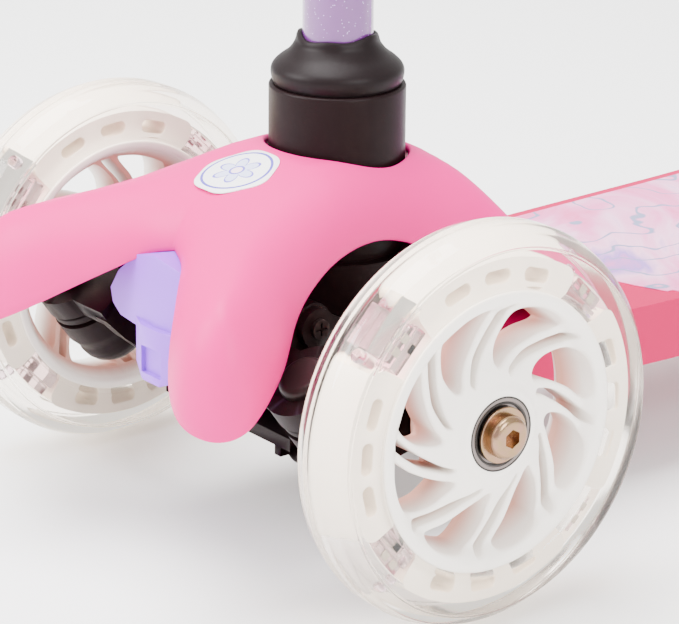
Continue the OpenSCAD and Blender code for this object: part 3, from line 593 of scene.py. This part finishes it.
def badge_mesh():
    """A thin disc with a faintly scalloped edge, laid on the cover's crown."""
    rings, around = 12, 120
    base = [(0, BADGE_Y)]
    for j in range(1, rings + 1):
        for i in range(around):
            angle = TAU * i / around
            r = BADGE_R * j / rings * (1 + BADGE_SCALLOP * math.cos(6 * angle))
            base.append((r * math.cos(angle), BADGE_Y + r * math.sin(angle)))
    inwards = 50  # far past the cover's shoulder, so that only its crown counts
    lifts = [BADGE_T] * (len(base) - around) + [BADGE_T - 0.2] * around
    points = [(*p, cover_height(p, inwards) + lift) for p, lift in zip(base, lifts)]
    points += [(*p, cover_height(p, inwards) + 0.02) for p in base[-around:]]
    faces = [(0, 1 + i, 1 + (i + 1) % around) for i in range(around)]
    faces += strips(rings + 1, around, first=1)
    bottom = 1 + rings * around
    faces.append(tuple(range(bottom, bottom + around)))
    return points, faces


piece("cover_badge_disc", badge_mesh(), badge_finish(FRONT @ Vector((0, BADGE_Y, 0))), "frame",
      ["cover_badge"], "badge_print", sharp=60)

# ---------- collar and boot ----------

COLLAR_R = 21
COLLAR_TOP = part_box("collar")[1].z / MM
COLLAR_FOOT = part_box("collar")[0].z / MM
TUBE_R = 10.8
SOCKET_DEPTH = 9
collar_line = rounded([(TUBE_R + 0.1, COLLAR_FOOT, 0), (COLLAR_R, COLLAR_FOOT, 0.5),
                       (COLLAR_R, COLLAR_TOP, 0.9), (COLLAR_R - 2, COLLAR_TOP, 0.6),
                       (COLLAR_R - 2.2, COLLAR_TOP - SOCKET_DEPTH, 1),
                       (TUBE_R + 0.1, COLLAR_TOP - SOCKET_DEPTH, 0)])
piece("collar_socket", lathe(collar_line), black, "frame", ["collar"], "black_plastic", place=COLUMN)


def wavy(r, z, angle):
    """The boot's thin upper lip hugs the tube in slow waves."""
    top = smoothstep((z - COLLAR_TOP - 10) / 5)
    wave = math.sin(2 * angle + 0.8) * 0.6 + math.sin(5 * angle) * 0.35
    return r + top * 0.12 * math.sin(7 * angle), z + top * wave


boot_curve = catmull([(14.6, -3), (17.6, -2.4), (19.6, 0.4), (20.4, 3.2), (20.0, 5.4), (18.2, 7.4),
                      (15.3, 9.6), (13.2, 12.2), (12.5, 14.2), (12.1, 15)], 6)
boot_bore = [(TUBE_R + 0.5, 15.1), (TUBE_R + 0.08, 14.6), (TUBE_R + 0.08, -3)]
boot_line = [(r, COLLAR_TOP + z) for r, z in [*boot_curve, *boot_bore]]
piece("column_boot", lathe(boot_line, shape=wavy), rubber, "frame", ["boot"], "boot_rubber", place=COLUMN,
      sharp=60)

# ---------- front wheels ----------

BEARING_R, BEARING_T = 11, 7
FACE_R, HUB_HALF = 42, 11.2
BAND_R, BAND_HALF = 50.8, 6.2
TYRE_R, TYRE_HALF = AXLE_Z, 12
LIGHT_ANGLES = [45, 135, 226, 308]
GAP_HALF_ANGLE = 10.5
SPOKES = 8
AROUND = 240  # steps round a wheel


def front_face(r):
    """Height of the hub's outer face: a dished disc that rises to the boss and to the rim."""
    disc, rise = 6.6, 3.6
    return disc + rise * smoothstep((25 - r) / 12) + rise * smoothstep((r - 34.5) / 4.3)


def back_face(r):
    """Height of the hub's inner face, a flatter disc with a steeper boss and rim."""
    disc, boss, rim = -5.6, 5.0, 4.2
    return disc - boss * smoothstep((19 - r) / 4) - rim * smoothstep((r - 36.8) / 2)


# A wide window and the narrow slot beside it, as (radius, degrees) points
WINDOW = [(19.3, 43), (21, 45), (24.5, 43.5), (27.8, 41), (32.3, 35.5), (35, 31), (36.8, 26), (37.6, 19),
          (37.7, 11), (37.2, 4.5), (35.6, 2.5), (33, 6), (30, 12), (25, 22.5), (21.5, 32), (19.4, 38.5)]
SLOT = [(17.0, 29), (18.2, 30), (20, 26), (25, 15), (30, 5), (33, 0), (36.3, -4.5), (37.6, -7.5),
        (37.4, -9.5), (35.6, -9), (33, -6.4), (30, -2), (25, 6.5), (20, 19), (17.6, 26)]
WINDOW_BACK_R = 35.9  # where the openings end at the back of the hub


def polar(r, degrees):
    angle = math.radians(degrees)
    return r * math.cos(angle), r * math.sin(angle)


def polar_loop(points, turn):
    """A closed curve through (radius, degrees) points, turned by turn degrees."""
    return np.array(catmull([polar(r, a + turn) for r, a in points], 5, closed=True))


def grown(loop, by):
    """A closed loop moved outwards by a distance."""
    ahead = np.roll(loop, -1, 0) - np.roll(loop, 1, 0)
    normal = np.stack([ahead[:, 1], -ahead[:, 0]], 1) / np.linalg.norm(ahead, axis=1)[:, None]
    area = (loop[:, 0] * np.roll(loop[:, 1], -1) - np.roll(loop[:, 0], -1) * loop[:, 1]).sum()
    return loop + math.copysign(by, area) * normal


def circle(r, count=AROUND):
    return np.array([(r * math.cos(TAU * i / count), r * math.sin(TAU * i / count)) for i in range(count)])


def sheet_between(outer, holes, spacing):
    """Plan points and triangles between an outer loop and hole loops. Loop points come first, in order."""
    loops = [outer] + holes
    flat = np.concatenate(loops)
    edges, at = [], 0
    for loop in loops:
        edges += [(at + i, at + (i + 1) % len(loop)) for i in range(len(loop))]
        at += len(loop)
    reach = np.abs(outer).max()
    ticks = np.arange(-reach, reach, spacing)
    row_pitch, clearance = 0.87, 0.6  # as shares of the spacing
    inner = np.array([(x + spacing / 2 * (j % 2), y) for j, y in enumerate(ticks * row_pitch) for x in ticks])
    gap = np.array([np.linalg.norm(flat - p, axis=1).min() for p in inner])
    inner = inner[gap > clearance * spacing]
    every = np.concatenate([flat, inner])
    points, _, faces, origin, _, _ = delaunay_2d_cdt([Vector(p) for p in every], edges, [], 0, 1e-6)
    plan = np.array(points)
    middles = np.array([plan[list(f)].mean(0) for f in faces])
    keep = inside(middles, outer)
    for hole in holes:
        keep &= ~inside(middles, hole)
    order = {o[0]: i for i, o in enumerate(origin) if o}
    new_index = {order[i]: i for i in range(len(flat))}
    for i in range(len(plan)):
        new_index.setdefault(i, len(new_index))
    back = sorted(new_index, key=new_index.get)
    kept = [tuple(new_index[i] for i in f) for f, k in zip(faces, keep) if k]
    return plan[back], kept


def inside(points, loop):
    """Which points lie inside a closed loop."""
    x, y = points[:, 0], points[:, 1]
    result = np.zeros(len(points), bool)
    for a, b in zip(loop, np.roll(loop, -1, 0)):
        crosses = (a[1] > y) != (b[1] > y)
        with np.errstate(divide="ignore", invalid="ignore"):
            at = (b[0] - a[0]) * (y - a[1]) / (b[1] - a[1]) + a[0]
        result ^= crosses & (x < at)
    return result


def draw_in(loop, by):
    """An opening's outline at the back, wider by a distance but with its rim end nearer the axle."""
    wide = grown(loop, by)
    r = np.linalg.norm(wide, axis=1)
    return wide * np.minimum(1, WINDOW_BACK_R / r)[:, None]


def sheet(points, faces, loops, spacing, height):
    """Adds a sheet bounded by an outer loop and hole loops, and gives where each loop's points start."""
    plan, shapes = sheet_between(loops[0], loops[1:], spacing)
    first = len(points)
    points += [(*p, height(math.hypot(*p))) for p in plan]
    faces += [tuple(first + i for i in f) for f in shapes]
    return list(itertools.accumulate([len(loop) for loop in loops[:-1]], initial=first))


def wall(points, faces, rows, top, bottom):
    """Adds rows of closed rings, joined to the loops whose points start at top and at bottom."""
    count = len(rows[0])
    first = len(points)
    last = first + (len(rows) - 1) * count
    points += [p for row in rows for p in row]
    faces += strips(len(rows), count, first)
    faces += ring_of_quads(top, first, count) + ring_of_quads(bottom, last, count)


def quarter_turns(steps):
    return [math.pi / 2 * step / steps for step in range(1, steps + 1)]


def hub_mesh():
    """The moulded hub: a swirled face pierced by windows and slots, a boss for the bearings and a rim."""
    r_in, r_out, spacing = 14.2, 38.9, 1.5
    fronts, backs = [], []
    for k in range(SPOKES):
        for shape, wider in ((WINDOW, 0.7), (SLOT, 0)):
            fronts.append(polar_loop(shape, 90 + 360 / SPOKES * k))
            backs.append(draw_in(fronts[-1], wider))
    sides = [(front_face, 1, fronts, 0.9), (back_face, -1, backs, 0.4)]
    points, faces, starts = [], [], []
    for face, _, openings, soft in sides:
        edges = [circle(r_out), circle(r_in), *[grown(loop, soft) for loop in openings]]
        starts.append(sheet(points, faces, edges, spacing, face))
    for k in range(len(fronts)):  # rounded edges and the wall of each opening
        rows = []
        for face, sign, openings, soft in sides:
            for a in quarter_turns(5)[::sign]:
                ring = grown(openings[k], soft * (1 - math.sin(a)))
                drop = sign * soft * (1 - math.cos(a))
                rows.append([(*p, face(math.hypot(*p)) - drop) for p in ring])
        wall(points, faces, rows, starts[0][2 + k], starts[1][2 + k])
    rim_line = [(39.6, 10.45), (40.2, 10.55), (41.4, 10.5), (41.85, 10.3), (42, 9.9), (42, -9.9),
                (41.85, -10.3), (41.4, -10.5), (40.2, -10.55), (39.6, -10.5)]
    seat_r = BEARING_R + 0.02
    boss_line = [(13.4, 10.9), (12.6, 11.15), (11.5, 11.2), (11.15, 11.1), (seat_r, 10.8), (seat_r, 4.2),
                 (8.5, 4.2), (8.5, -4.2), (seat_r, -4.2), (seat_r, -10.8), (11.15, -11.1), (11.5, -11.2),
                 (12.6, -11.15)]
    for k, line in enumerate((rim_line, boss_line)):
        rows = [[(*p, z) for p in circle(r)] for r, z in line]
        wall(points, faces, rows, starts[0][k], starts[1][k])
    return points, faces


def plate(outline, holes, half, soft=0.5, spacing=2.5):
    """A flat plate from -half to +half with rounded edges and holes, all given as closed loops."""
    points, faces = [], []
    edges = [(outline, -soft)] + [(hole, soft) for hole in holes]
    flats = [grown(loop, away) for loop, away in edges]
    starts = [sheet(points, faces, flats, spacing, lambda r: z) for z in (half, -half)]
    for k, (loop, away) in enumerate(edges):
        rows = []
        for sign in (1, -1):
            for a in quarter_turns(3)[::sign]:
                z = sign * (half - soft * (1 - math.cos(a)))
                rows.append([(*p, z) for p in grown(loop, away * (1 - math.sin(a)))])
        wall(points, faces, rows, starts[0][k], starts[1][k])
    return points, faces


def band_mesh():
    """The white core band under the clear tyre: four arcs with rounded ends, each with three slots."""
    arcs = []
    steps, corner = 26, 3.2
    slot_in, slot_out, slot_half, slot_end = 44.6, 48.2, 4.6, 1.7
    ease_in = math.degrees(corner / BAND_R)
    bend = [(BAND_R - corner * (1 - math.sin(t)), ease_in * (1 - math.cos(t)))
            for t in (0, *quarter_turns(5))]
    slot = rounded([(slot_in, -slot_half, slot_end), (slot_out, -slot_half, slot_end),
                    (slot_out, slot_half, slot_end), (slot_in, slot_half, slot_end)])
    for start, end in zip(LIGHT_ANGLES, [*LIGHT_ANGLES[1:], LIGHT_ANGLES[0] + 360]):
        a, b = start + GAP_HALF_ANGLE, end - GAP_HALF_ANGLE
        outline = [(FACE_R - 0.6, a + (b - a) * k / steps) for k in range(steps + 1)]
        outline += [(r, b - eased) for r, eased in bend]
        outline += [(BAND_R, b - ease_in + (a - b + 2 * ease_in) * k / steps) for k in range(1, steps)]
        outline += [(r, a + eased) for r, eased in bend[::-1]]
        holes = []
        for share in (0.24, 0.5, 0.76):
            mid = math.radians(a + (b - a) * share)
            c, s = math.cos(mid), math.sin(mid)
            holes.append(np.array([(c * x - s * y, s * x + c * y) for x, y in slot]))
        arcs.append(plate(np.array([polar(r, t) for r, t in outline]), holes, BAND_HALF - 0.1))
    return joined(*arcs)


tyre_side = [(FACE_R - 0.3, TYRE_HALF - 2.2, 0), (FACE_R + 1.6, TYRE_HALF - 0.4, 1.2),
             (46, TYRE_HALF - 0.05, 2), (54.2, TYRE_HALF - 0.25, 0.3), (54.6, TYRE_HALF - 0.75, 0.3),
             (55.0, TYRE_HALF - 0.55, 0.3), (58.4, 7.6, 4.5), (TYRE_R, 3.2, 4)]
tyre_line = rounded([
    *tyre_side, *[(r, -z, radius) for r, z, radius in tyre_side[::-1]],
    (FACE_R - 0.3, 0.25 - BAND_HALF, 0), (BAND_R - 0.15, 0.25 - BAND_HALF, 0.5),
    (BAND_R - 0.15, BAND_HALF - 0.25, 0.5), (FACE_R - 0.3, BAND_HALF - 0.25, 0)], steps=6)

bearing_line = rounded([(4.1, BEARING_T, 0.3), (6.2, BEARING_T, 0.25), (6.25, 6.5, 0), (9.35, 6.4, 0),
                        (9.4, 6.75, 0), (9.75, 6.75, 0), (9.8, BEARING_T, 0.1), (10.98, BEARING_T, 0.4),
                        (10.98, 0, 0.4), (9.8, 0, 0.1), (9.7, 0.5, 0), (6.3, 0.5, 0), (6.2, 0, 0.25),
                        (4.1, 0, 0.3)], steps=3)
seal_line = rounded([(8.9, 6.95, 0.2), (9.62, 6.95, 0.2), (9.62, 6.3, 0), (8.9, 6.3, 0)], steps=3)
# A thin dark ring over the seam where the bearing's outer race meets the hub: painted shade in that crevice,
# not a part
seam_shade_line = [(10.75, 7.03), (11.2, 7.03), (11.2, 6.6), (10.75, 6.6)]

# One light, with +X out along a wheel's radius: boxes by two corners, and the post's outline
CARRIER_BOXES = [((FACE_R + 0.6, -7.2, -5.4), (46.6, 7.2, 5.4)), ((46.9, -6.2, -5), (50.2, 6.2, 5))]
CONTACT_BOXES = [((46.9, -3.4, 5.2), (49.4, -0.6, 5.8)), ((46.9, 1.2, 5.2), (49.4, 3.8, 5.8)),
                 ((43.4, -2.4, 5.6), (45.4, 0.6, 5.95))]
POST_LINE = [(0, 0), (2.0, 0), (2.0, 6.6), (1.4, 7.4), (0, 7.4)]
POST_AT = (44, 8.4, 0)


def light_parts():
    """The clear carriers in the band's gaps, each with a post, and the contacts that they hold."""
    clears, metals = [], []
    post = moved(lathe(POST_LINE, 24), Matrix.Translation(POST_AT) @ Matrix.Rotation(math.pi / 2, 4, "Y"))
    carrier = joined(*[box(*corners) for corners in CARRIER_BOXES], post)
    contact = joined(*[box(*corners) for corners in CONTACT_BOXES])
    for angle in LIGHT_ANGLES:
        turn = Matrix.Rotation(math.radians(angle), 4, "Z")
        clears.append(moved(carrier, turn))
        metals.append(moved(contact, turn))
    return joined(*clears), joined(*metals)


hub = joined(hub_mesh(), band_mesh())
tyre = lathe(tyre_line, AROUND)
carriers, contacts = light_parts()
outer_seat = Matrix.Translation((0, 0, HUB_HALF - BEARING_T))
inner_seat = Matrix.Translation((0, 0, BEARING_T - HUB_HALF)) @ Matrix.Rotation(math.pi, 4, "X")
races = joined(moved(lathe(bearing_line), outer_seat), moved(lathe(bearing_line), inner_seat))
# The bearing's real seal, and the ring of painted shade over its seam with the hub
seals_and_seam_shade = moved(joined(lathe(seal_line), lathe(seam_shade_line)), outer_seat)
for side_name, side in SIDES.items():
    def add(what, mesh, material, nodes, slot, **more):
        piece(f"front_{what}_{side_name}", mesh, material, f"front_wheel_{side_name}",
              [f"{n}_{side_name}" for n in nodes], slot, wheel_frame(side), **more)

    add("hub_moulding", hub, hub_milky_painted_shade, ["front_hub"], "hub_white", sharp=50)
    add("tyre_clear", tyre, clear, ["front_tyre"], "tyre_clear", sharp=50)
    add("bearing_rings", races, race, ["front_bearings"], "bright_steel", sharp=30)
    add("bearing_seal_and_seam_shade", seals_and_seam_shade, seal_and_seam_shade, [], "black_plastic")
    add("light_carriers", carriers, prism, ["light_blocks"], "light_block", edge=0.3)
    add("light_contacts", contacts, steel, [], "bright_steel", edge=0.1)

# ---------- springs ----------

steer = joint("steer_left")
kingpin_at = Vector(steer["pos_m"])
tilt = math.atan2(-steer["axis"][1], steer["axis"][2])
LEVER, ROD_DROP = 16, 20.5  # from the kingpin to the tie rod, along the steering lever and down
rod = (Matrix.Translation((0, kingpin_at.y, kingpin_at.z)) @ Matrix.Rotation(tilt, 4, "X")
       @ Matrix.Scale(MM, 4) @ Matrix.Translation((0, LEVER, -ROD_DROP))
       @ Matrix.Rotation(math.pi / 2, 4, "Y"))
WIRE_R = 0.7
COIL_FOOT, COIL_LENGTH = 8.2, 24
coil_mesh = moved(coil(4.2, WIRE_R, COIL_LENGTH, 7), Matrix.Translation((0, 0, COIL_FOOT)))
for side_name, side in SIDES.items():  # each coil stretches between the chassis and the rod's collar
    spring = piece(f"steering_coil_{side_name}", moved(coil_mesh, Matrix.Scale(side, 4, (0, 0, 1))), steel,
                   None, ["centring_springs"], "bright_steel", place=rod)
    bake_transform(spring)

BRAKE_COIL_LENGTH = 12.6
hinge = Vector(joint("brake_press")["pos_m"])
at_hinge = (Matrix.Translation((0, hinge.y, hinge.z)) @ Matrix.Scale(MM, 4)
            @ Matrix.Translation((-BRAKE_COIL_LENGTH / 2, 0, 0)) @ Matrix.Rotation(math.pi / 2, 4, "Y"))
piece("brake_coil", coil(4.1, WIRE_R, BRAKE_COIL_LENGTH, 6), steel, "frame", ["brake_spring"],
      "bright_steel", place=at_hinge)

# ---------- floor, lights and camera ----------

FLOOR_HALF = 6
corners = [(x * FLOOR_HALF, y * FLOOR_HALF, 0) for x, y in ((-1, -1), (1, -1), (1, 1), (-1, 1))]
floor_mesh = bpy.data.meshes.new("floor")
floor_mesh.from_pydata(corners, [], [(0, 1, 2, 3)])
pale = finish("floor_white", (0.92, 0.92, 0.92), (0.93, 0.93, 0.93), (0.7, 0.8), bump=0)
floor_mesh.materials.append(pale)
floor = bpy.data.objects.new("floor", floor_mesh)
floor.location.z = -0.5 * MM
bpy.context.scene.collection.objects.link(floor)

world = bpy.data.worlds.new("studio")
world.use_nodes = True
sky = world.node_tree.nodes["Background"]
sky.inputs["Color"].default_value = (1.0, 0.995, 0.985, 1)
sky.inputs["Strength"].default_value = 1.5
bpy.context.scene.world = world


def area_light(name, at, size, power, aim=(0, -0.12, 0.08)):
    """A round soft light that faces the scooter's front."""
    lamp = bpy.data.lights.new(name, "AREA")
    lamp.shape = "DISK"
    lamp.size = size
    lamp.energy = power
    obj = bpy.data.objects.new(name, lamp)
    bpy.context.scene.collection.objects.link(obj)
    obj.location = at
    obj.rotation_euler = (Vector(aim) - Vector(at)).to_track_quat("-Z", "Y").to_euler()


area_light("overhead", (-0.2, -0.3, 1.5), 1.2, 74)
area_light("front_left", (-0.6, -1.3, 0.9), 0.9, 40)
area_light("right", (1.3, -0.2, 0.8), 0.8, 22)

# The camera looks down on the front of the scooter from its left, with a long lens
AZIMUTH, ELEVATION, ROLL = map(math.radians, (51.615, 19.363, 0.612))
CAMERA_RANGE = 940
CAMERA_AIM = Vector((30, 0, 75.7))
backward = Vector((math.sin(AZIMUTH) * math.cos(ELEVATION),
                   -math.cos(AZIMUTH) * math.cos(ELEVATION),
                   math.sin(ELEVATION)))
level = Vector((0, 0, 1)).cross(backward).normalized()
upward = backward.cross(level)
right = math.cos(ROLL) * level + math.sin(ROLL) * upward
up = math.cos(ROLL) * upward - math.sin(ROLL) * level
lens = bpy.data.cameras.new("camera")
lens.lens = 166.5
lens.sensor_width = 36
lens.sensor_fit = "HORIZONTAL"
camera = bpy.data.objects.new("camera", lens)
bpy.context.scene.collection.objects.link(camera)
turn = Matrix((right, up, backward)).transposed().to_4x4()
camera.matrix_world = Matrix.Translation(FRONT @ (CAMERA_AIM + CAMERA_RANGE * backward)) @ turn
bpy.context.scene.camera = camera
